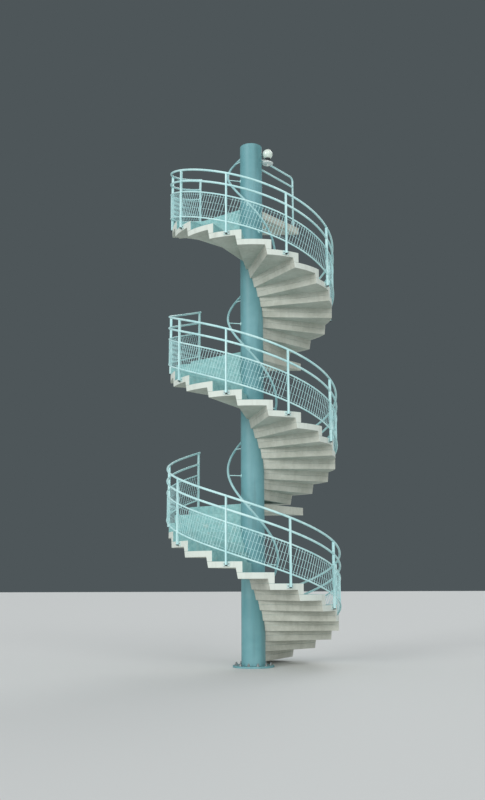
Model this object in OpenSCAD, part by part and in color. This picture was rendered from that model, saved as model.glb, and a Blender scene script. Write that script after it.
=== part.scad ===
// Concrete spiral stair tower on a round column.
// Each of its three storeys is one clockwise turn: fifteen folded steps and a landing.
// A railing with mesh panels runs round the outside, a handrail round the column.
// Millimetres. Z is up, the floor is Z = 0 and the column stands on the origin.
// The front is towards -Y, the landings are at the back.

/* [Storeys] */
// Floor to floor height
storey = 2750; // [2600:10:2900]
// Risers in one storey, the landing's own riser included
risers = 16; // [16:1:16]

/* [Plan] */
// Outer radius of the steps
stair_radius = 1450; // [1350:10:1550]
// Turn taken by one step, in degrees
step_angle = 20; // [19:0.5:20.5]
// Direction of the first riser, in degrees from +X
first_angle = 84; // [80:1:90]
// Direction of the far edge of each landing
landing_end = 50; // [45:1:56]
// Distance from the column axis to the straight side of the landings
bearing_line = 1100; // [1060:10:1140]

/* [Steps] */
// Thickness of a tread
tread_thick = 100; // [80:5:120]
// Thickness of a riser plate just under its own tread
riser_head = 106; // [90:2:120]
// Thickness of a riser plate at its lowest corner
riser_foot = 72; // [60:2:90]
// Thickness of a landing
landing_thick = 140; // [120:5:160]

/* [Column] */
// Outside diameter of the column
column_dia = 408; // [350:2:450]
// Wall of the column tube
column_wall = 12; // [8:1:20]
// Height of the column above the highest landing
column_rise = 1162; // [1080:2:1400]
// Diameter of the foot flange
flange_dia = 700; // [620:10:760]
// Thickness of the foot flange
flange_thick = 30; // [20:1:40]
// Circle of the anchor holes
anchor_circle = 600; // [540:10:640]
// Anchor hole diameter
anchor_hole = 30; // [22:1:36]
// Number of anchor holes
anchor_count = 12; // [8:2:16]

/* [Railing] */
// Radius of the rails about the column axis
rail_radius = 1484; // [1480:1:1500]
// Diameter of the top rail and of the second rail
rail_dia = 42; // [34:1:50]
// Diameter of the two rails that hold the mesh
mesh_rail_dia = 28; // [20:1:34]
// Height of the top rail's centre above the line of the nosings
top_lift = 940; // [900:5:1000]
// The same for the second rail
second_lift = 730; // [680:5:780]
// The same for the rail over the mesh
third_lift = 527; // [480:5:580]
// The same for the rail under the mesh
bottom_lift = 62; // [50:2:120]
// Thickness of the mesh panels
mesh_thick = 6; // [4:1:8]
// Width of a post along the railing
post_width = 32; // [25:1:40]
// Depth of a post, away from the column
post_depth = 44; // [40:1:60]
// Turn from a riser to the post on its tread
post_turn = 10; // [7:0.5:13]
// Depth of a post's foot below its tread
post_drop = 60; // [40:1:70]

/* [Handrail] */
// Radius of the handrail round the column
hand_radius = 430; // [380:5:480]
// Diameter of the handrail
hand_dia = 36; // [30:1:42]
// Height of the handrail above the line of the nosings
hand_lift = 900; // [850:5:950]
// Diameter of the bars that hold it
bracket_dia = 16; // [12:1:20]

/* [Top guard and lamp] */
// Height of the guard's upper rail above the highest landing
guard_high = 1040; // [950:5:1060]
// Height of its lower rail
guard_low = 845; // [750:5:900]
// Direction of the guard
guard_angle = 52.5; // [52:0.5:54]
// Distance of the guard post from the axis
guard_reach = 1335; // [1250:5:1340]
// Diameter of the lamp globe
globe_dia = 190; // [160:2:196]
// Distance of the globe from the axis
globe_reach = 312; // [306:2:330]
// Height of the globe's centre above the highest landing
globe_height = 1030; // [900:5:1060]
// Diameter of the dish under the globe
dish_dia = 180; // [160:5:200]

/* [Hidden] */
storeys = 3;
rise = storey / risers;
slope = rise / step_angle;
column_radius = column_dia / 2;
top_floor = storeys * storey;
column_height = top_floor + column_rise;
cap_thick = 8;
far = 2 * stair_radius;
margin = 1;
ring_facets = 180;
column_facets = 64;
tube_sides = 8;
ring_pitch = 10;
bays = 7;
bay = 2 * step_angle;
start_post = first_angle - 8;
end_post = -226.5;
rail_overhang = 1.2;
plate_thick = rail_radius - post_depth / 2 - stair_radius;
plate_width = 108;
plate_height = 70;
plate_drop = post_drop + 15;
hand_start = first_angle - 8;
hand_end = -242;
bracket_angles = [70, 12, -46, -106, -166, -226];
guard_facets = 24;
arm_width = 40;
arm_thick = 8;
collar_dia = 90;
collar_height = 34;

// Direction of riser n, counted from 1 at the foot of a flight
function riser_angle(n) = first_angle - step_angle * (n - 1);

// Height of the line of the nosings in direction a
function nosing_line(a) = rise + slope * (first_angle - a);

// Number of the tread, or of the landing, under direction a
function tread_under(a) = floor((first_angle - a) / step_angle) + 1;

// Directions of the posts: one on the first tread, one on each even tread, one on the landing
post_angles = concat(
    [start_post],
    [for (i = [0:bays - 1]) riser_angle(2) - post_turn - bay * i],
    [end_post]
);

// Climb per millimetre along a helix of radius r, and the stretch of its upright section
function climb(r) = slope * 180 / (PI * r);
function stretch(r) = sqrt(1 + climb(r) * climb(r));

// Upright distance from the centre of a helical tube to its lower or upper flat
function flat_height(d, r) = d / 2 * cos(180 / tube_sides) * stretch(r);

// Upright section of a tube of diameter d on a helix of radius r
function tube_ring(d, r) = [for (k = [0:tube_sides - 1])
    let (t = 360 * (k + 0.5) / tube_sides)
    [d / 2 * cos(t), d / 2 * sin(t) * stretch(r)]];

// Upright section of a thin sheet between heights low and high
function sheet_ring(t, low, high) = [[t / 2, low], [t / 2, high], [-t / 2, high], [-t / 2, low]];

// Faces of a closed tube made of m rings of n points
function tube_faces(n, m) = concat(
    [[for (k = [0:n - 1]) k]],
    [for (i = [0:m - 2], k = [0:n - 1], half = [0, 1])
        half == 0
            ? [i * n + k, (i + 1) * n + k, (i + 1) * n + (k + 1) % n]
            : [i * n + k, (i + 1) * n + (k + 1) % n, i * n + (k + 1) % n]],
    [[for (k = [n - 1:-1:0]) (m - 1) * n + k]]
);

// Carry a section of [outward, upward] points up the flight from direction a0 to a1
module helical_bar(ring, r, a0, a1, lift) {
    count = ceil((a0 - a1) / ring_pitch) + 1;
    points = [for (i = [0:count - 1], c = ring)
        let (a = a0 + (a1 - a0) * i / (count - 1))
        [(r + c[0]) * cos(a), (r + c[0]) * sin(a), nosing_line(a) + lift + c[1]]];
    polyhedron(points, tube_faces(len(ring), count), convexity = 6);
}

// Lift a piece of the lowest flight to flight s
module in_flight(s) {
    translate([0, 0, s * storey]) children();
}

// Room for a step between the column and the outer edge
module step_ring(z0, z1) {
    translate([0, 0, z0]) difference() {
        cylinder(r = stair_radius, h = z1 - z0, $fn = ring_facets);
        translate([0, 0, -margin])
            cylinder(r = column_radius, h = z1 - z0 + 2 * margin, $fn = column_facets);
    }
}

// Sector of the ring from direction a0 down to a1
module ring_sector(a0, a1, z0, z1) {
    mid = (a0 + a1) / 2;
    intersection() {
        step_ring(z0, z1);
        translate([0, 0, z0 - margin]) linear_extrude(height = z1 - z0 + 2 * margin) polygon([
            [0, 0],
            [far * cos(a0), far * sin(a0)],
            [far * cos(mid), far * sin(mid)],
            [far * cos(a1), far * sin(a1)]
        ]);
    }
}

// Cutter that runs along direction a with a section of [forward, upward] corners
module long_cutter(a, section) {
    rotate([0, 0, a]) translate([-far, 0, 0]) rotate([90, 0, 90])
        linear_extrude(height = 2 * far) polygon([for (c = section) [-c[0], c[1]]]);
}

// Thickness of a riser plate at height z above its foot: its back leans away from the climb
function riser_thick(z) = riser_foot + (riser_head - riser_foot) * (z + tread_thick) / rise;

// Hollow behind riser n, under a plate of the given thickness
module under_cut(n, thick) {
    foot = (n - 1) * rise;
    soffit = n * rise - thick;
    long_cutter(riser_angle(n), [
        [riser_thick(-margin), foot - margin], [riser_thick(rise - thick), soffit],
        [far, soffit], [far, foot - margin]
    ]);
}

// Front of the heel of tread n, in line with the back of the riser that stands on it
module heel_cut(n) {
    top = n * rise;
    foot = top - tread_thick;
    long_cutter(riser_angle(n + 1), [
        [riser_thick(-tread_thick - margin), foot - margin], [riser_thick(margin), top + margin],
        [far, top + margin], [far, foot - margin]
    ]);
}

// Folded step n, cast in one piece: a riser plate, a tread and a heel for the next riser
module folded_step(n) {
    difference() {
        ring_sector(riser_angle(n), riser_angle(n + 3), (n - 1) * rise, n * rise);
        under_cut(n, tread_thick);
        heel_cut(n);
    }
}

// Every other step of a flight, from step n0
module flight_steps(n0) {
    color("#ccd3c8") for (n = [n0:2:risers - 1]) folded_step(n);
}

// First step of the tower, cast with a rebate over the foot flange
module rebated_step() {
    color("#ccd3c8") difference() {
        folded_step(1);
        translate([0, 0, -margin])
            cylinder(d = flange_dia, h = flange_thick + margin, $fn = column_facets);
    }
}

// Landing: the last riser and a flat sector, cut straight on the side of the gallery
module landing() {
    top = risers * rise;
    color("#ccd3c8") difference() {
        ring_sector(riser_angle(risers), landing_end - 360, top - rise, top);
        under_cut(risers, landing_thick);
        translate([-far, bearing_line, top - storey]) cube([2 * far, far, 2 * storey]);
    }
}

// Rail in one length over the heads of the posts
module top_rail() {
    color("#bfe3e3") helical_bar(tube_ring(rail_dia, rail_radius), rail_radius,
        start_post + rail_overhang, end_post - rail_overhang, top_lift);
}

// Lengths of a section welded in between the posts
module between_posts(ring, lift) {
    half = asin(post_width / 2 / rail_radius);
    for (i = [0:bays])
        helical_bar(ring, rail_radius, post_angles[i] - half, post_angles[i + 1] + half, lift);
}

module second_rail() {
    color("#bfe3e3") between_posts(tube_ring(rail_dia, rail_radius), second_lift);
}

module mesh_rails() {
    color("#bfe3e3") for (lift = [third_lift, bottom_lift])
        between_posts(tube_ring(mesh_rail_dia, rail_radius), lift);
}

// Mesh panels, drawn as thin sheets that reach from rail to rail
module mesh_panels() {
    edge = flat_height(mesh_rail_dia, rail_radius);
    color("#8fc4c8") between_posts(
        sheet_ring(mesh_thick, bottom_lift + edge, third_lift - edge), 0);
}

// Post in direction a: its head is cut to the slope of the top rail
module post(a) {
    foot = tread_under(a) * rise - post_drop;
    head = nosing_line(a) + top_lift - flat_height(rail_dia, rail_radius);
    drop = climb(rail_radius) * post_width / 2;
    rotate([0, 0, a]) translate([rail_radius - post_depth / 2, 0, 0])
        rotate([90, 0, 90]) linear_extrude(height = post_depth) polygon([
            [-post_width / 2, foot], [post_width / 2, foot],
            [post_width / 2, head - drop], [-post_width / 2, head + drop]
        ]);
}

// Plate that fixes a post to the curved edge of its tread
module post_plate(a) {
    foot = tread_under(a) * rise - plate_drop;
    rotate([0, 0, a]) difference() {
        translate([stair_radius - margin, -plate_width / 2, foot])
            cube([plate_thick + margin, plate_width, plate_height]);
        translate([0, 0, foot - margin])
            cylinder(r = stair_radius, h = plate_height + 2 * margin, $fn = 4 * ring_facets);
    }
}

module posts() {
    color("#bfe3e3") for (a = post_angles) post(a);
}

module post_plates() {
    color("#a5d3d6") for (a = post_angles) post_plate(a);
}

module handrail() {
    color("#bfe3e3") helical_bar(tube_ring(hand_dia, hand_radius), hand_radius,
        hand_start, hand_end, hand_lift);
}

// Level bars from the column to the handrail
module handrail_brackets() {
    reach = hand_radius - hand_dia / 2 * cos(180 / tube_sides) - column_radius;
    color("#bfe3e3") for (a = bracket_angles)
        rotate([0, 0, a]) translate([column_radius, 0, nosing_line(a) + hand_lift])
            rotate([0, 90, 0]) cylinder(d = bracket_dia, h = reach, $fn = 16);
}

module central_column() {
    color("#6fa9ae") difference() {
        cylinder(d = column_dia, h = column_height - cap_thick, $fn = column_facets);
        translate([0, 0, -margin])
            cylinder(d = column_dia - 2 * column_wall, h = column_height, $fn = column_facets);
    }
}

module column_cap() {
    color("#6fa9ae") translate([0, 0, column_height - cap_thick])
        cylinder(d = column_dia, h = cap_thick, $fn = column_facets);
}

module column_flange() {
    color("#6fa9ae") difference() {
        cylinder(d = flange_dia, h = flange_thick, $fn = column_facets);
        translate([0, 0, -margin])
            cylinder(d = column_dia, h = flange_thick + 2 * margin, $fn = column_facets);
        for (i = [0:anchor_count - 1])
            rotate([0, 0, (i + 0.5) * 360 / anchor_count])
            translate([anchor_circle / 2, 0, -margin])
            cylinder(d = anchor_hole, h = flange_thick + 2 * margin, $fn = 24);
    }
}

module guard_rails() {
    color("#bfe3e3") rotate([0, 0, guard_angle]) for (z = [guard_high, guard_low])
        translate([column_radius, 0, top_floor + z]) rotate([0, 90, 0])
        cylinder(d = rail_dia, h = guard_reach - column_radius - rail_dia / 2, $fn = guard_facets);
}

module guard_post() {
    color("#bfe3e3") rotate([0, 0, guard_angle]) translate([guard_reach, 0, top_floor])
        cylinder(d = rail_dia, h = guard_high + rail_dia / 2, $fn = guard_facets);
}

// Arm, dish and collar that carry the globe
module lamp_bracket() {
    low = top_floor + globe_height - globe_dia / 2 - collar_height + 12;
    color("#aab8b4") difference() {
        union() {
            translate([globe_reach, 0, low]) cylinder(d = collar_dia, h = collar_height, $fn = 48);
            translate([globe_reach, 0, low - arm_thick])
                cylinder(d = dish_dia, h = arm_thick, $fn = 48);
            translate([column_radius - arm_thick, -arm_width / 2, low - arm_thick])
                cube([globe_reach - column_radius, arm_width, arm_thick]);
        }
        translate([globe_reach, 0, top_floor + globe_height]) sphere(d = globe_dia, $fn = 48);
        translate([0, 0, low - storey]) cylinder(d = column_dia, h = storey * 2, $fn = column_facets);
    }
}

module lamp_globe() {
    color("#dfe8df") translate([globe_reach, 0, top_floor + globe_height])
        sphere(d = globe_dia, $fn = 48);
}

central_column();
column_cap();
column_flange();
in_flight(0) {  // lower_odd_steps
    rebated_step();
    flight_steps(3);
}
in_flight(0) flight_steps(2);  // lower_even_steps
in_flight(1) flight_steps(1);  // middle_odd_steps
in_flight(1) flight_steps(2);  // middle_even_steps
in_flight(2) flight_steps(1);  // upper_odd_steps
in_flight(2) flight_steps(2);  // upper_even_steps
in_flight(0) landing();  // first_landing
in_flight(1) landing();  // second_landing
in_flight(2) landing();  // third_landing
in_flight(0) top_rail();  // lower_top_rail
in_flight(1) top_rail();  // middle_top_rail
in_flight(2) top_rail();  // upper_top_rail
in_flight(0) second_rail();  // lower_second_rail
in_flight(1) second_rail();  // middle_second_rail
in_flight(2) second_rail();  // upper_second_rail
in_flight(0) mesh_rails();  // lower_mesh_rails
in_flight(1) mesh_rails();  // middle_mesh_rails
in_flight(2) mesh_rails();  // upper_mesh_rails
in_flight(0) mesh_panels();  // lower_mesh
in_flight(1) mesh_panels();  // middle_mesh
in_flight(2) mesh_panels();  // upper_mesh
in_flight(0) posts();  // lower_posts
in_flight(1) posts();  // middle_posts
in_flight(2) posts();  // upper_posts
in_flight(0) post_plates();  // lower_post_plates
in_flight(1) post_plates();  // middle_post_plates
in_flight(2) post_plates();  // upper_post_plates
in_flight(0) handrail();  // lower_handrail
in_flight(1) handrail();  // middle_handrail
in_flight(2) handrail();  // upper_handrail
in_flight(0) handrail_brackets();  // lower_brackets
in_flight(1) handrail_brackets();  // middle_brackets
in_flight(2) handrail_brackets();  // upper_brackets
guard_rails();
guard_post();
lamp_bracket();
lamp_globe();
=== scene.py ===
from math import asin, ceil, cos, floor, pi, radians, sin, tan
import bmesh
import bpy
import numpy as np
from mathutils import Matrix, Vector


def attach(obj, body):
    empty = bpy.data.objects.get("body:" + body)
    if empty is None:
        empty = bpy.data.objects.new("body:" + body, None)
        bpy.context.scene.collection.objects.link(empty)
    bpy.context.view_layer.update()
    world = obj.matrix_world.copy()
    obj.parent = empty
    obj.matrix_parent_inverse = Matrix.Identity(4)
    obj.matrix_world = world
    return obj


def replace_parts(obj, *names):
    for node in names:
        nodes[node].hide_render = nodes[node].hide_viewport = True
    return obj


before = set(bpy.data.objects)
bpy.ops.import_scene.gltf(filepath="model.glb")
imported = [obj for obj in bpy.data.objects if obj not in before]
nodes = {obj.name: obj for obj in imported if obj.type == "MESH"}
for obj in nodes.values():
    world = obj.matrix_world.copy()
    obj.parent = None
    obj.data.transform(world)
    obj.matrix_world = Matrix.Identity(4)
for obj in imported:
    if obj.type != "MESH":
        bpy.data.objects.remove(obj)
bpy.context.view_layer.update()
flights = ["lower", "middle", "upper"]
print("frame loaded:", len(nodes), "nodes")

# sizes that all pieces share, in metres and degrees; a direction is counted from +X
stair = {"storey": 2.750, "risers": 16, "turn": 20.0, "first": 84.0, "outer": 1.450, "column": 0.204}
rise = stair["storey"] / stair["risers"]
slope = rise / stair["turn"]  # what the stair climbs in one degree
topFloor = len(flights) * stair["storey"]
upwards = np.array([0.0, 0.0, 1.0])


def nosing(a, f):  # height of the line of flight f's nosings at direction a: it falls evenly with the direction
    return f * stair["storey"] + rise + slope * (stair["first"] - a)


def treadTop(a, f):  # height of the tread or landing of flight f under direction a
    n = min(stair["risers"], floor((stair["first"] - a) / stair["turn"]) + 1)
    return f * stair["storey"] + n * rise


def polar(r, a, z):  # points at x = r cos a, y = r sin a and height z, as rows; a is in degrees
    a = np.radians(a)
    return np.stack(np.broadcast_arrays(r * np.cos(a), r * np.sin(a), z), -1)


def helixPath(r, a0, a1, lift, f, pitch=3.0):
    # points every few degrees at radius r from direction a0 to a1, as high as the nosings' line plus a lift
    a = np.linspace(a0, a1, max(3, ceil(abs(a0 - a1) / pitch) + 1))
    return polar(r, a, nosing(a, f) + lift)


def around(sides):  # cosines and sines of equal turns round a circle
    t = np.arange(sides) * 2 * pi / sides
    return np.cos(t), np.sin(t)


def squareTo(along, up):
    # two unit directions square to a way: way x up, then way x that, so that a turn from the first to the second
    # runs against the clock about the way, and skins on it face outwards
    side = np.cross(along, np.broadcast_to(up, along.shape))
    side /= np.linalg.norm(side, axis=-1, keepdims=True)
    return side, np.cross(along, side)


def gridFaces(rows, columns, ring=False):  # quads of a grid whose columns close on themselves, and a ring's rows too
    i, k = np.meshgrid(np.arange(rows if ring else rows - 1), np.arange(columns), indexing="ij")
    here, after, beside = i * columns, (i + 1) % rows * columns, (k + 1) % columns
    return np.stack([here + k, here + beside, after + beside, after + k], -1).reshape(-1, 4)


def fanFaces(ring, pole, flip):  # triangles from a closed ring of points to one pole
    after = np.roll(ring, -1)
    pair = (after, ring) if flip else (ring, after)
    return np.stack([pair[0], pair[1], np.full(len(ring), pole)], -1)


def skin(rings):  # closed skin over rings of points (rows, columns, 3), with a pole in the middle of each end
    rows, columns = rings.shape[:2]
    points = np.concatenate([rings.reshape(-1, 3), rings[:1].mean(1), rings[-1:].mean(1)])
    last = np.arange(columns) + (rows - 1) * columns
    tris = np.concatenate([fanFaces(np.arange(columns), rows * columns, True),
                           fanFaces(last, rows * columns + 1, False)])
    return points, gridFaces(rows, columns), tris


def tube(path, radii, sides, up):
    # a circle carried square to a path: path + radius x (first direction x cos t + second x sin t), where up
    # steers the two directions
    along = np.gradient(path, axis=0)
    along /= np.linalg.norm(along, axis=1, keepdims=True)
    side, top = squareTo(along, up)
    c, s = around(sides)
    ring = side[:, None] * c[:, None] + top[:, None] * s[:, None]
    return skin(path[:, None] + ring * np.broadcast_to(radii, len(path))[:, None, None])


def domedEnds(path, radius, height=0.45, turns=(90.0, 72, 52, 30, 12), tip=1e-5):
    # a path and its radii, closed by a shallow dome at both ends, which is a quarter of an ellipse: out by
    # height x radius x sin t, with the radius left at cos t of the tube's
    def cap(end, beyond):
        out = (end - beyond) / np.linalg.norm(end - beyond)
        t = np.radians(turns)
        return end + out * (height * radius * np.sin(t))[:, None], radius * np.cos(t) + tip

    head, headRadii = cap(path[0], path[1])
    tail, tailRadii = cap(path[-1], path[-2])
    return (np.concatenate([head, path, tail[::-1]]),
            np.concatenate([headRadii, np.full(len(path), radius), tailRadii[::-1]]))


def turned(place, profile, sides):
    # a profile of (radius, height) spun about +Z: x = radius cos t, y = radius sin t; a matrix sets it in place
    c, s = around(sides)
    r, z = np.array(profile).T
    rings = np.stack([r[:, None] * c, r[:, None] * s, np.repeat(z[:, None], sides, 1)], -1)
    return skin(rings @ np.array(place.to_3x3()).T + np.array(place.translation))


def standing(a, r, z, aside=0.0):  # stands a spun profile on a face that looks outward in direction a
    return (Matrix.Rotation(radians(a), 4, "Z") @ Matrix.Translation((r, aside, z))
            @ Matrix.Rotation(radians(90), 4, "Y"))


def weldBead(centre, along, radius, bead=0.0028, sides=20, beadSides=6):
    # a thin torus round a tube at its joint: centre + (radius + bead cos s) outwards + bead sin s along the tube
    along = along / np.linalg.norm(along)
    side, top = squareTo(along, (0, 0.1, 1.0))
    c, s = around(sides)
    out = side * c[:, None] + top * s[:, None]
    c, s = around(beadSides)
    rings = centre + out[:, None] * (radius + bead * c)[:, None] + along * (bead * s)[:, None]
    quads = gridFaces(sides, beadSides, ring=True)[:, [0, 3, 2, 1]]  # turned over, because its rows go round
    return rings.reshape(-1, 3), quads, np.zeros((0, 3), int)


def roundedBox(x, y, r):  # outline of a box with half sizes x and y: four points of a circle of radius r a corner
    t = np.radians([0.0, 30, 60, 90])
    corner = np.stack([x - r + r * np.cos(t), y - r + r * np.sin(t)], -1)
    mirrors = [(1, 1), (-1, 1), (-1, -1), (1, -1)]
    return np.concatenate([(corner if i % 2 == 0 else corner[::-1]) * m for i, m in enumerate(mirrors)])


def finish(thing, material, sharp):  # links a new piece and gives it its material, shading and rider
    bpy.context.scene.collection.objects.link(thing)
    thing.data.materials.clear()
    thing.data.materials.append(material)
    thing.data.polygons.foreach_set("use_smooth", np.ones(len(thing.data.polygons), bool))
    thing.data.set_sharp_from_angle(angle=radians(sharp))
    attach(thing, "root")
    return thing


def piece(name, skins, material, sharp=35):  # one object from several skins of points, quads and triangles
    starts = np.cumsum([0] + [len(s[0]) for s in skins[:-1]])
    points = np.concatenate([s[0] for s in skins])
    quads, tris = (np.concatenate([s[k] + start for s, start in zip(skins, starts)]) for k in (1, 2))
    mesh = bpy.data.meshes.new(name)
    mesh.vertices.add(len(points))
    mesh.vertices.foreach_set("co", points.astype(np.float32).ravel())
    mesh.loops.add(quads.size + tris.size)
    mesh.loops.foreach_set("vertex_index", np.concatenate([quads.ravel(), tris.ravel()]).astype(np.int32))
    corners = np.repeat([4, 3], [len(quads), len(tris)]).astype(np.int32)
    mesh.polygons.add(len(corners))
    mesh.polygons.foreach_set("loop_start", (np.cumsum(corners) - corners).astype(np.int32))
    mesh.polygons.foreach_set("loop_total", corners)
    mesh.update(calc_edges=True)
    mesh.validate()
    return finish(bpy.data.objects.new(name, mesh), material, sharp)


# how a copy of a node is merged, in metres and degrees, and which of its edges get worn
worn = {"merge": 0.00005, "flat": 0.3, "sharp": 35, "arris": 40, "segments": 2}


def wornCopy(name, width, material):  # merged copy of a node, its arrises rounded by use and weather
    words = name.split("_")
    mesh = nodes[name].data.copy()
    work = bmesh.new()
    work.from_mesh(mesh)
    bmesh.ops.remove_doubles(work, verts=work.verts, dist=worn["merge"])
    bmesh.ops.dissolve_limit(work, angle_limit=radians(worn["flat"]), verts=work.verts, edges=work.edges)
    work.to_mesh(mesh)
    work.free()
    mesh.name = words[0] + "".join(w.capitalize() for w in words[1:])
    thing = finish(bpy.data.objects.new(mesh.name, mesh), material, worn["sharp"])
    bevel = thing.modifiers.new("wornArris", "BEVEL")
    bevel.width = width
    bevel.segments = worn["segments"]
    bevel.limit_method = "ANGLE"
    bevel.angle_limit = radians(worn["arris"])
    bevel.harden_normals = True
    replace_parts(thing, name)


def linear(code):  # sRGB hex to the linear values that a shader takes
    v = np.array([int(code[i:i + 2], 16) for i in (1, 3, 5)]) / 255
    v = np.where(v <= 0.04045, v / 12.92, ((v + 0.055) / 1.055) ** 2.4)
    return (*v.tolist(), 1.0)


def settle(tree, node, values):  # sockets are linked to a node's inputs, hex colours and other values are set
    for key, value in values.items():
        if isinstance(value, bpy.types.NodeSocket):
            tree.links.new(value, node.inputs[key])
        elif isinstance(key, int) or key in node.inputs:
            node.inputs[key].default_value = linear(value) if isinstance(value, str) else value
        else:
            setattr(node, key, value)
    return node.outputs


def add(tree, kind, values):  # adds a node with its settings and links
    return settle(tree, tree.nodes.new("ShaderNode" + kind), values)


def startMaterial(name):  # a material, its tree, its shader, and the place and normal of each point of the piece
    made = bpy.data.materials.new(name)
    made.use_nodes = True
    tree = made.node_tree
    where = add(tree, "TexCoord", {})
    return made, tree, tree.nodes["Principled BSDF"], where["Object"], where["Normal"]


def patterns(tree, place, grains):  # noise for each grain: features in mm, detail, roughness, scale of its height
    made = {}
    for key, (size, detail, roughness, tall) in grains.items():
        where = add(tree, "Mapping", {"Vector": place, "Scale": (1, 1, tall)})["Vector"]
        made[key] = add(tree, "TexNoise", {"Vector": where, "Scale": 1000 / size, "Detail": detail,
                                           "Roughness": roughness})["Fac"]
    return made


def coat(tree, under, over, pattern, low, high, share=1.0):
    # one colour over another: none of it where the pattern is below low, and its whole share above high
    shown = add(tree, "MapRange", {"Value": pattern, "From Min": low, "From Max": high})["Result"]
    shown = add(tree, "Math", {"operation": "MULTIPLY", 0: shown, 1: share})[0]
    return add(tree, "Mix", {"data_type": "RGBA", 0: shown, 6: under, 7: over})[2]


def sprayedPaint(name, look):
    # alkyd paint sprayed over primed steel: satin, thin enough to show a faint orange peel, chalked by
    # weather in soft patches, with grey dirt run down in streaks and a little rust at bare spots
    made, tree, shader, place, normal = startMaterial(name)
    grain = patterns(tree, place, {
        "patches": (look["patch"], 4, 0.55, 1), "streaks": (look["streak"], 3, 0.6, 0.07),
        "specks": (look["speck"], 2, 0.7, 1),
        "peel": (9, 1, 0.55, 1)})  # orange peel is about 2 mm across; drawn at 9 mm so that it shows
    colour = coat(tree, look["base"], look["chalk"], grain["patches"], 0.35, 0.68)
    colour = coat(tree, colour, "#4F6A69", grain["streaks"], 0.52, 0.78, share=look["dirt"])
    colour = coat(tree, colour, "#7C5233", grain["specks"], 0.74, 0.80, share=look["rust"])
    rough = add(tree, "MapRange", {"Value": grain["patches"], "To Min": look["gloss"],
                                   "To Max": look["gloss"] + 0.16})["Result"]
    bump = add(tree, "Bump", {"Height": grain["peel"], "Strength": 0.10, "Distance": 0.001})["Normal"]
    settle(tree, shader, {"Base Color": colour, "Roughness": rough, "Normal": bump, "IOR": 1.5})
    return made


def castConcrete(name, look):
    # fair-faced precast concrete: fine matt paste with blowholes a few millimetres wide, cloudy where the
    # mould oil lay, paler on the faces that look away from the column, worn turquoise floor paint on treads and
    # riser fronts
    made, tree, shader, place, normal = startMaterial(name)
    grain = patterns(tree, place, {
        "clouds": (420, 5, 0.6, 1), "mottle": (60, 4, 0.6, 1), "drips": (90, 4, 0.65, 0.10),
        "wear": (160, 5, 0.7, 1), "grit": (12, 2, 0.7, 1)})  # sand is 1 to 2 mm; drawn at 12 mm so that it shows

    # how much a face looks away from the column, and along the circle towards those who climb
    facing = []
    for way in ({"operation": "MULTIPLY", 0: place, 1: (1, 1, 0)},
                {"operation": "CROSS_PRODUCT", 0: (0, 0, 1), 1: place}):
        unit = add(tree, "VectorMath", {"operation": "NORMALIZE", 0: add(tree, "VectorMath", way)[0]})[0]
        facing.append(add(tree, "VectorMath", {"operation": "DOT_PRODUCT", 0: normal, 1: unit})["Value"])
    outward, front = facing
    upward = add(tree, "SeparateXYZ", {0: normal})["Z"]
    walked = add(tree, "Math", {"operation": "MAXIMUM", 0: front, 1: upward})[0]
    kept = add(tree, "MapRange", {"Value": grain["wear"], "From Min": 0.60, "From Max": 0.72,
                                  "To Min": 1.0, "To Max": 0.4})["Result"]

    colour = coat(tree, look["dark"], look["base"], grain["clouds"], 0.36, 0.66)
    colour = coat(tree, colour, look["pale"], grain["mottle"], 0.45, 0.75, share=0.35)
    colour = coat(tree, colour, look["grit"], grain["grit"], 0.52, 0.72, share=0.22)
    # faces that look away from the column are made paler
    colour = coat(tree, colour, look["edge"], outward, 0.45, 0.75, share=0.85)
    paint = coat(tree, look["paint"], look["palePaint"], grain["mottle"], 0.35, 0.70)
    colour = coat(tree, colour, paint, walked, 0.60, 0.80, share=kept)
    colour = coat(tree, colour, look["stain"], grain["drips"], 0.50, 0.80, share=0.28)

    holes = add(tree, "TexVoronoi", {"Vector": place, "Scale": 22.0, "Randomness": 1.0})["Distance"]  # 45 mm apart
    pits = add(tree, "MapRange", {"Value": holes, "From Min": 0.05, "From Max": 0.11})["Result"]
    height = add(tree, "Math", {"operation": "MULTIPLY_ADD", 0: grain["grit"], 1: 0.45, 2: pits})[0]
    bump = add(tree, "Bump", {"Height": height, "Strength": 0.35, "Distance": 0.003})["Normal"]
    rough = add(tree, "MapRange", {"Value": grain["mottle"], "To Min": 0.72, "To Max": 0.9})["Result"]
    settle(tree, shader, {"Base Color": colour, "Normal": bump, "Roughness": rough, "Specular IOR Level": 0.35})
    return made


def galvanisedSteel(name, look):
    # hot-dip galvanised steel: dull grey metal with spangle a few millimetres wide, dark with age
    made, tree, shader, place, normal = startMaterial(name)
    spangle = patterns(tree, place, {"spangle": (5, 2, 0.55, 1)})["spangle"]
    settle(tree, shader, {"Base Color": coat(tree, look["dark"], look["base"], spangle, 0.4, 0.65),
                          "Metallic": 0.8, "Roughness": 0.5})
    return made


def opalGlass(name, look):
    # opal blown glass: milky, so light sinks in a little under a smooth glossy skin, with dust on its crown
    made, tree, shader, place, normal = startMaterial(name)
    dust = patterns(tree, place, {"dust": (30, 4, 0.55, 1)})["dust"]
    upward = add(tree, "SeparateXYZ", {0: normal})["Z"]
    settle(tree, shader, {"Base Color": coat(tree, look["base"], look["dust"], upward, 0.1, 1.0, share=dust),
                          "Roughness": 0.14, "IOR": 1.52, "Subsurface Weight": 0.35,
                          "Subsurface Radius": (0.05, 0.05, 0.045), "Subsurface Scale": 0.4})
    return made


def agedRubber(name, look):
    # black rubber of gaskets and of the posts' tube plugs, greyed and matt from the sun; on the plugs its black is
    # painted shade, standing in for the shade under the post feet
    made, tree, shader, place, normal = startMaterial(name)
    bloom = patterns(tree, place, {"bloom": (15, 3, 0.55, 1)})["bloom"]
    settle(tree, shader, {"Base Color": coat(tree, look["base"], look["bloom"], bloom, 0, 1), "Roughness": 0.7})
    return made


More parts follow.
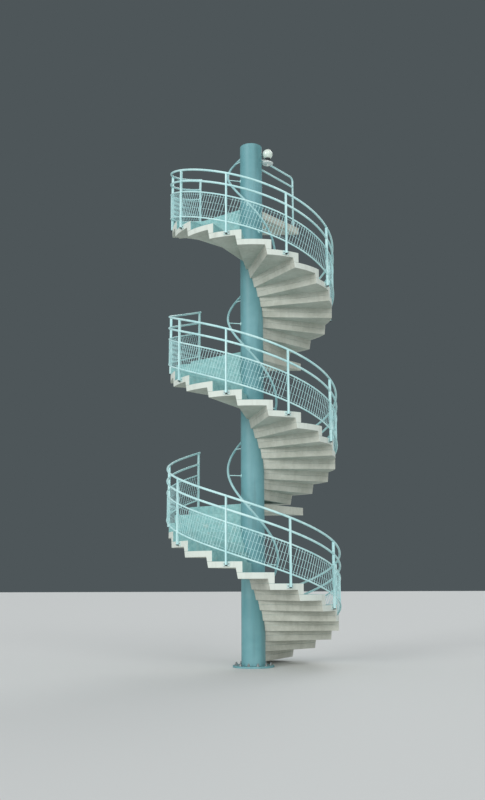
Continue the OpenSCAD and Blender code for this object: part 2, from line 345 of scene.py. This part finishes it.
# colours as sRGB hex, sizes of patches, streaks and specks in mm, shares of dirt and rust
columnPaint = sprayedPaint("columnPaint", {
    "base": "#5E959B", "chalk": "#74A6AC", "patch": 700, "streak": 120, "speck": 40,
    "dirt": 0.40, "rust": 0.25, "gloss": 0.42})
railPaint = sprayedPaint("railPaint", {
    "base": "#B2DEDF", "chalk": "#CBEDEC", "patch": 260, "streak": 60, "speck": 22,
    "dirt": 0.25, "rust": 0.35, "gloss": 0.36})
# the handrail's turquoise is darker than the rails': painted shade, standing in for the shade under the flight above
handPaint = sprayedPaint("handPaint", {
    "base": "#93C0C3", "chalk": "#A8D0D2", "patch": 180, "streak": 60, "speck": 22,
    "dirt": 0.30, "rust": 0.35, "gloss": 0.32})
meshPaint = sprayedPaint("meshPaint", {
    "base": "#B2DEDF", "chalk": "#C6EAEA", "patch": 200, "streak": 50, "speck": 16,
    "dirt": 0.3, "rust": 0.5, "gloss": 0.42})
enamel = sprayedPaint("whiteEnamel", {
    "base": "#E4EAE6", "chalk": "#EFF3EF", "patch": 120, "streak": 40, "speck": 14,
    "dirt": 0.3, "rust": 0.6, "gloss": 0.3})
platePaint = sprayedPaint("platePaint", {
    "base": "#B9D6D3", "chalk": "#CCE1DD", "patch": 90, "streak": 30, "speck": 16,
    "dirt": 0.35, "rust": 0.6, "gloss": 0.5})
concrete = castConcrete("castConcrete", {
    "dark": "#B3B6AA", "base": "#C6C9BE", "pale": "#D6D9CF", "grit": "#A3A598", "edge": "#D4DDD5",
    "paint": "#86B9B9", "palePaint": "#A5D0CE", "stain": "#8A8B7E"})
zinc = galvanisedSteel("galvanisedZinc", {"dark": "#8B9293", "base": "#AEB4B4"})
opal = opalGlass("opalGlass", {"base": "#DDE9DF", "dust": "#AEB6A8"})
rubber = agedRubber("agedRubber", {"base": "#23282A", "bloom": "#3C4344"})
print("materials made")

# nodes whose own shape is right get a finish; cast pieces and plates get one on a copy with worn arrises
finishes = {"column": columnPaint, "brackets": railPaint, "lamp_globe": opal}
arrises = {"steps": (0.006, concrete, "concrete"), "landing": (0.006, concrete, "concrete"),
           "post_plates": (0.002, platePaint, "rail_paint"), "flange": (0.003, columnPaint, "column_paint")}
for name, node in nodes.items():
    for key, material in finishes.items():
        if key in name:
            node.data.materials.clear()
            node.data.materials.append(material)
    for key, (width, material, slot) in arrises.items():
        if name.endswith(key):
            wornCopy(name, width, material)
print("frame nodes finished")

# outer railing: a post on the first step, one on every other step and one on the landing. The top rail passes over
# the posts, the others are welded in between them, sunk in by a few hundredths of a degree
railing = {"radius": 1.484, "tube": 0.0185, "sides": 24, "meshTube": 0.013, "meshSides": 16, "top": 0.940,
           "second": 0.730, "third": 0.527, "bottom": 0.062, "overhang": 1.2, "sunk": 0.03}
post = {"width": 0.028, "depth": 0.044, "corner": 0.005, "drop": 0.056, "underRail": 0.014,
        "plug": [(-0.002, -0.016), (0.0008, -0.013), (0.0008, -0.0002), (-0.002, 0.0)],  # growth, height at the foot
        "turns": [76.0] + [54.0 - 40 * i for i in range(7)] + [-226.5]}
turns = post["turns"]
bays = list(zip(turns[:-1], turns[1:]))
halfPost = np.degrees(asin(post["width"] / 2 / railing["radius"]))
climb = slope * 180 / (pi * railing["radius"])
welded = {"SecondRail": ("_second_rail", ["second"], railing["tube"], railing["sides"]),
          "MeshRails": ("_mesh_rails", ["third", "bottom"], railing["meshTube"], railing["meshSides"])}


def upright(a, rows):
    # the post's outline set out on the railing's line and turned to direction a; a row gives how much it has
    # grown, its height, and how far it falls for each metre sideways
    rings = []
    for more, z, fall in rows:
        x, y = roundedBox(post["depth"] / 2 + more, post["width"] / 2 + more, post["corner"] + more).T
        rings.append(np.column_stack([x + railing["radius"], y, z - fall * y]))
    return skin(np.stack(rings) @ np.array(Matrix.Rotation(radians(a), 3, "Z")).T)


for f, flight in enumerate(flights):
    feet = [(a, treadTop(a, f) - post["drop"]) for a in turns]
    posts = [upright(a, [(0, foot, 0), (0, nosing(a, f) + railing["top"] - post["underRail"], climb)])
             for a, foot in feet]
    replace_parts(piece(flight + "Posts", posts, railPaint), flight + "_posts")
    # black plugs at the post feet: painted shade, a dark piece standing in for the shade under each post's foot
    plugs = [upright(a, [(more, foot + z, 0) for more, z in post["plug"]]) for a, foot in feet]
    piece(flight + "PostPlugs", plugs, rubber)

    path = helixPath(railing["radius"], turns[0] + railing["overhang"], turns[-1] - railing["overhang"],
                     railing["top"], f)
    topRail = tube(*domedEnds(path, railing["tube"]), railing["sides"], upwards)
    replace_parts(piece(flight + "TopRail", [topRail], railPaint, sharp=60), flight + "_top_rail")

    inset = halfPost - railing["sunk"]
    beads = []
    for label, (ending, lifts, radius, sides) in welded.items():
        lengths = []
        for lift in lifts:
            for a, b in bays:
                path = helixPath(railing["radius"], a - inset, b + inset, railing[lift], f)
                lengths.append(tube(path, radius, sides, upwards))
                beads.append(weldBead(path[0], path[1] - path[0], radius))
                beads.append(weldBead(path[-1], path[-2] - path[-1], radius))
        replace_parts(piece(flight + label, lengths, railPaint, sharp=60), flight + ending)
    piece(flight + "RailWelds", beads, railPaint, sharp=80)
print("rails made")

# mesh panels: stout wires lean back down the flight, and thin cross wires lie against their inner side
panel = {"pitch": 0.051, "wire": 0.0038, "crossWire": 0.0021, "sides": 6, "lean": 16.5,
         "rows": [0.045, 0.17, 0.295, 0.42], "inset": 0.006, "up": (0.0, 0.3, 0.1)}  # up lies along no stout wire
spread = np.degrees(panel["pitch"] / railing["radius"])
bottom, tall = railing["bottom"], railing["third"] - railing["bottom"]
leanTurn = np.degrees(tall * tan(radians(panel["lean"])) / railing["radius"])
for f, flight in enumerate(flights):
    wires = []
    for a, b in bays:
        count = int((a - b - 2 * halfPost) / spread)
        middles = (a + b) / 2 + spread * (np.arange(count) - (count - 1) / 2)
        for middle in middles:  # the direction turns evenly as the wire climbs, and stops at the posts
            t = np.linspace(0, 1, 4)
            turn = np.clip(middle + leanTurn * (t - 0.5), b + halfPost, a - halfPost)
            path = polar(railing["radius"], turn, nosing(turn, f) + bottom + tall * t)
            wires.append(tube(path, panel["wire"], panel["sides"], panel["up"]))
        for row in panel["rows"]:
            path = helixPath(railing["radius"] - panel["inset"], a - halfPost, b + halfPost, bottom + row, f)
            wires.append(tube(path, panel["crossWire"], panel["sides"], upwards))
    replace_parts(piece(flight + "Mesh", wires, meshPaint, sharp=70), flight + "_mesh")
print("mesh made")

# handrail round the column, on level bars that the frame holds; a rosette covers each bar's joint with the column
hand = {"radius": 0.430, "tube": 0.020, "sides": 20, "lift": 0.900, "start": 76.0, "end": -242.0, "pitch": 4,
        "brackets": [70, 12, -46, -106, -166, -226], "bar": 0.008, "bead": 0.0025, "sunk": 0.003,
        "rosette": [(0.030, 0), (0.030, 0.006), (0.028, 0.008), (0.012, 0.008), (0.009, 0.012)]}
for f, flight in enumerate(flights):
    path = helixPath(hand["radius"], hand["start"], hand["end"], hand["lift"], f, hand["pitch"])
    handrail = tube(*domedEnds(path, hand["tube"]), hand["sides"], upwards)
    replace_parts(piece(flight + "Handrail", [handrail], handPaint, sharp=60), flight + "_handrail")
    fittings = []
    for a in hand["brackets"]:
        z = nosing(a, f) + hand["lift"]
        out = polar(1.0, a, 0.0)
        joint = out * (hand["radius"] - hand["tube"]) + upwards * z
        fittings.append(turned(standing(a, stair["column"] - hand["sunk"], z), hand["rosette"], sides=24))
        fittings.append(weldBead(joint, out, hand["bar"], hand["bead"], sides=16))
    piece(flight + "Rosettes", fittings, railPaint)
print("handrails made")

# guard of the top landing: the upper tube bends down into its post, the lower one is welded in between. Its reach
# is counted from the column's face, and its plate is a profile of (radius, height)
guard = {"tube": 0.0185, "sides": 24, "direction": 52.5, "reach": 1.131, "high": 1.040, "low": 0.845, "bend": 0.085,
         "level": [-0.004, 0.3, 0.7], "upright": [0.6, 0.2, 0.0], "sunk": 0.004, "bead": 0.004, "beadOut": 0.001,
         "plate": [(0.045, 0), (0.045, 0.006), (0.043, 0.008), (0.02, 0.008)]}
out, across = polar(1.0, guard["direction"], 0.0), polar(1.0, guard["direction"] + 90, 0.0)
start = out * stair["column"] + upwards * topFloor
t = np.radians(np.linspace(0, 90, 9))  # the bend is a quarter circle: sin t outwards, cos t upwards
bend = guard["bend"] * (np.column_stack([np.sin(t), np.cos(t)]) - 1) + (guard["reach"], guard["high"])
route = np.concatenate([[(x, guard["high"]) for x in guard["level"]], bend,
                        [(guard["reach"], z) for z in guard["upright"]]])
highPath = start + out * route[:, :1] + upwards * route[:, 1:]
lowReach = np.linspace(-guard["sunk"], guard["reach"] - guard["tube"] + guard["sunk"], 5)
lowPath = start + out * lowReach[:, None] + upwards * guard["low"]
guardSkins = [tube(highPath, guard["tube"], guard["sides"], across),
              tube(lowPath, guard["tube"], guard["sides"], across),
              weldBead(lowPath[-1] - out * guard["sunk"] / 2, out, guard["tube"]),
              turned(Matrix.Translation(start + out * guard["reach"]), guard["plate"], sides=32)]
for z in (guard["high"], guard["low"]):
    joint = start + out * guard["beadOut"] + upwards * z
    guardSkins.append(weldBead(joint, out, guard["tube"], guard["bead"]))
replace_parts(piece("guardTubes", guardSkins, railPaint, sharp=50), "guard_rails", "guard_post")

# lamp: the globe sits on a short dark neck over a shallow dish, which a flat arm holds from the column. Its
# profiles are (radius, height) from the globe's lowest point
lamp = {"reach": 0.312, "globe": 0.095, "height": 1.030,
        "dish": [(0.016, -0.122), (0.018, -0.126), (0.024, -0.126), (0.028, -0.116), (0.034, -0.110),
                 (0.070, -0.105), (0.098, -0.096), (0.104, -0.090), (0.104, -0.082), (0.100, -0.079),
                 (0.040, -0.068), (0.034, -0.060), (0.030, -0.036)],
        "neck": [(0.030, -0.038), (0.032, -0.022), (0.044, -0.012), (0.052, -0.004), (0.052, 0.010),
                 (0.048, 0.012)],
        "eye": [(0.008, -0.142), (0.014, -0.138), (0.018, -0.130), (0.018, -0.118)]}
arm = {"halfWidth": 0.020, "corner": 0.003, "below": 0.030, "thick": 0.008, "sunk": 0.004}
lowest = topFloor + lamp["height"] - lamp["globe"]
seat = Matrix.Translation((lamp["reach"], 0, lowest))
x, y = roundedBox((lamp["reach"] - stair["column"]) / 2, arm["halfWidth"], arm["corner"]).T
x = x + (lamp["reach"] + stair["column"]) / 2 - arm["sunk"]
underside = lowest - arm["below"]
bar = np.stack([np.column_stack([x, y, np.full(len(x), z)]) for z in (underside, underside + arm["thick"])])
holder = piece("lampHolder", [turned(seat, lamp["dish"], sides=48), skin(bar)], enamel, sharp=40)
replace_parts(holder, "lamp_bracket")
piece("lampNeck", [turned(seat, lamp["neck"], sides=40)], rubber, sharp=40)
piece("lampEye", [turned(seat, lamp["eye"], sides=24)], opal, sharp=40)
print("guard and lamp made")

# bolts: two in each post's plate; a washer is a profile of (radius, height) and a head has its size over the flats
bolt = {"washer": [(0.011, -0.001), (0.011, 0.002), (0.00935, 0.0028)], "halfFlats": 0.0085, "head": 0.007,
        "seat": 0.002, "side": 0.036, "below": 0.040, "plate": 0.012}


def hexHead(halfFlats, height, low):  # profile of a head with six flats and a chamfered crown
    corner = halfFlats / cos(pi / 6)
    return [(corner, low), (corner, low + height * 0.8), (halfFlats, low + height), (halfFlats * 0.3, low + height)]


for f, flight in enumerate(flights):
    bolts = []
    for a in turns:
        for side in (-bolt["side"], bolt["side"]):
            place = standing(a, stair["outer"] + bolt["plate"], treadTop(a, f) - bolt["below"], side)
            bolts.append(turned(place, bolt["washer"], sides=16))
            bolts.append(turned(place, hexHead(bolt["halfFlats"], bolt["head"], bolt["seat"]), sides=6))
    piece(flight + "PlateBolts", bolts, zinc, sharp=30)

# anchors through the foot flange: a washer, a nut and the end of the stud
anchor = {"circle": 0.300, "count": 12, "flange": 0.030, "halfFlats": 0.0205, "nut": 0.022, "seat": 0.004,
          "washer": [(0.028, -0.001), (0.028, 0.004), (0.026, 0.005)],
          "stud": [(0.0135, 0.020), (0.0135, 0.045), (0.0115, 0.048)]}
anchors = []
for i in range(anchor["count"]):
    turn = Matrix.Rotation(radians((i + 0.5) * 360 / anchor["count"]), 4, "Z")
    place = turn @ Matrix.Translation((anchor["circle"], 0, anchor["flange"]))
    anchors.append(turned(place, anchor["washer"], sides=24))
    anchors.append(turned(place, hexHead(anchor["halfFlats"], anchor["nut"], anchor["seat"]), sides=6))
    anchors.append(turned(place, anchor["stud"], sides=16))
piece("anchorNuts", anchors, zinc, sharp=30)
print("bolts made")

# stage: a wide pale floor under soft light, with a grey backdrop that the light doesn't come from
room = {"floor": "#D9DBD9", "backdrop": "#4E5659", "light": "#F2F6FA", "strength": 0.56, "width": 300}
bpy.ops.mesh.primitive_plane_add(size=room["width"])
ground = bpy.context.object
ground.name = "ground"
paleFloor, tree, shader, place, normal = startMaterial("paleFloor")
settle(tree, shader, {"Base Color": room["floor"], "Roughness": 0.9})
ground.data.materials.append(paleFloor)

world = bpy.data.worlds.new("softRoom")
bpy.context.scene.world = world
world.use_nodes = True
tree = world.node_tree
tree.nodes.clear()
ray = add(tree, "LightPath", {})
seen = add(tree, "Math", {"operation": "MAXIMUM", 0: ray["Is Camera Ray"], 1: ray["Is Glossy Ray"]})[0]
lit = add(tree, "Background", {"Color": room["light"], "Strength": room["strength"]})[0]
backdrop = add(tree, "Background", {"Color": room["backdrop"], "Strength": 1.0})[0]
add(tree, "OutputWorld", {"Surface": add(tree, "MixShader", {0: seen, 1: lit, 2: backdrop})[0]})

# each light: degrees round from the camera's side, degrees up, strength, and softness in degrees
suns = {"keyLamp": (-38, 16, 1.35, 25), "fillLamp": (20, 22, 0.95, 40), "backLamp": (160, 40, 0.5, 30)}
for name, (azimuth, elevation, strength, softness) in suns.items():
    light = bpy.data.lights.new(name, "SUN")
    light.energy = strength
    light.angle = radians(softness)
    sun = bpy.data.objects.new(name, light)
    a, e = radians(azimuth), radians(elevation)
    away = Vector((sin(a) * cos(e), -cos(a) * cos(e), sin(e)))
    sun.rotation_euler = away.to_track_quat("Z", "Y").to_euler()
    bpy.context.scene.collection.objects.link(sun)

# camera: place in metres, angles in degrees, focal length and height of the picture in its pixels
view = {"place": (0.160, -15.97, 1.372), "yaw": -1.19, "pitch": 11.35, "roll": -0.18, "focal": 915.6, "tall": 800,
        "sensor": 36, "far": 400}
yaw, pitch, roll = (radians(view[k]) for k in ("yaw", "pitch", "roll"))
ahead = Vector((sin(yaw) * cos(pitch), cos(yaw) * cos(pitch), sin(pitch)))
right = Vector((cos(yaw), -sin(yaw), 0))
up = right.cross(ahead)
right, up = right * cos(roll) + up * sin(roll), up * cos(roll) - right * sin(roll)
camera = bpy.data.objects.new("camera", bpy.data.cameras.new("camera"))
camera.data.sensor_width = view["sensor"]
camera.data.lens = view["focal"] / view["tall"] * view["sensor"]
camera.data.clip_end = view["far"]
camera.matrix_world = Matrix.Translation(view["place"]) @ Matrix((right, up, -ahead)).transposed().to_4x4()
bpy.context.scene.collection.objects.link(camera)
bpy.context.scene.camera = camera
bpy.context.scene.view_settings.view_transform = "Standard"
print("stage made")
